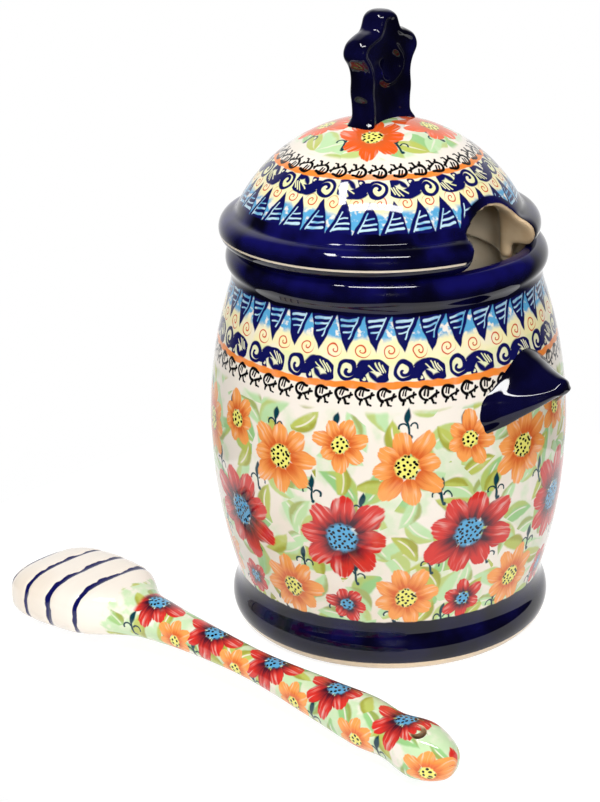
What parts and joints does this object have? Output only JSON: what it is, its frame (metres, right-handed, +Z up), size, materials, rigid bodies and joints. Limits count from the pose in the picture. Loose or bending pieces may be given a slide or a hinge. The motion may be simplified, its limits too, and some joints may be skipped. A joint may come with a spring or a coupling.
{
  "type": "honey pot",
  "caption": "Barrel-shaped glazed stoneware honey pot with hooded lug handles, a loose domed lid notched for a dipper, a scroll knob, and a dipper lying beside it.",
  "frame": {"origin": "centre of the pot's foot ring, on the pot's axis, in the plane that the pot and the dipper rest on", "axes": "+Z up along the pot's axis, +X towards the lug handle under the lid's notch, -Y towards the side where the dipper lies"},
  "size_m": [0.1914, 0.1589, 0.2061],
  "materials": {
    "painted_stoneware": "clear gloss glaze over hand-stamped colours on a cream ground",
    "cobalt_glaze": "deep cobalt under a clear gloss glaze"
  },
  "bodies": {
    "pot": {"pot_body": "painted_stoneware", "lug_handle_right": "cobalt_glaze", "lug_handle_left": "cobalt_glaze"},
    "lid": {"lid_shell": "painted_stoneware", "lid_knob": "cobalt_glaze"},
    "dipper": {"honey_dipper": "painted_stoneware"}
  },
  "joints": [
    {"name": "lid_lift", "type": "slide", "parent": "pot", "child": "lid", "axis": [0, 0, 1], "range_m": [0, 0.12]},
    {"name": "dipper_lift", "type": "slide", "parent": "pot", "child": "dipper", "axis": [0, 0, 1], "range_m": [0, 0.22]}
  ]
}
